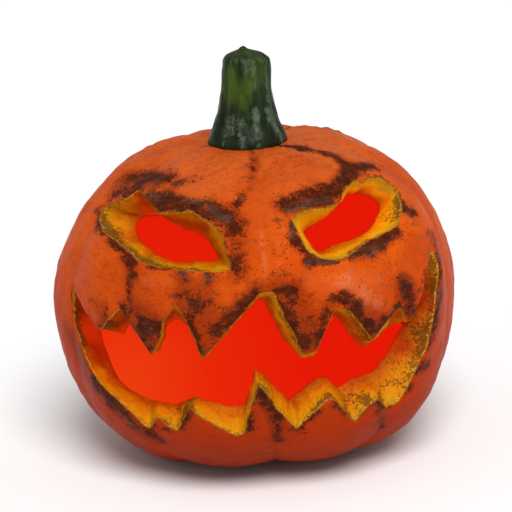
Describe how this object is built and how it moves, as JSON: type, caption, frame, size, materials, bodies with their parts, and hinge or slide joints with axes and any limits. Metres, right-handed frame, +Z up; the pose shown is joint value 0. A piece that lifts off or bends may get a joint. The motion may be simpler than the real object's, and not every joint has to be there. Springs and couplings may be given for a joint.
{
  "type": "carved pumpkin lantern",
  "caption": "Hand-painted foam copy of a carved pumpkin lantern with slanting eyes, a jagged toothed grin, a red glow inside and a glossy green stem.",
  "frame": {"origin": "centre of the flat underside, on the floor", "axes": "+Z up through the stem, the face looking towards -Y"},
  "size_m": [0.2273, 0.218, 0.2294],
  "materials": {
    "painted_foam": "hand-painted orange with dark dry-brushed soot, ochre cut faces and a red glow inside",
    "painted_stem": "glossy dark green paint"
  },
  "bodies": {
    "root": {"body": "painted_foam", "stem": "painted_stem"}
  },
  "joints": []
}
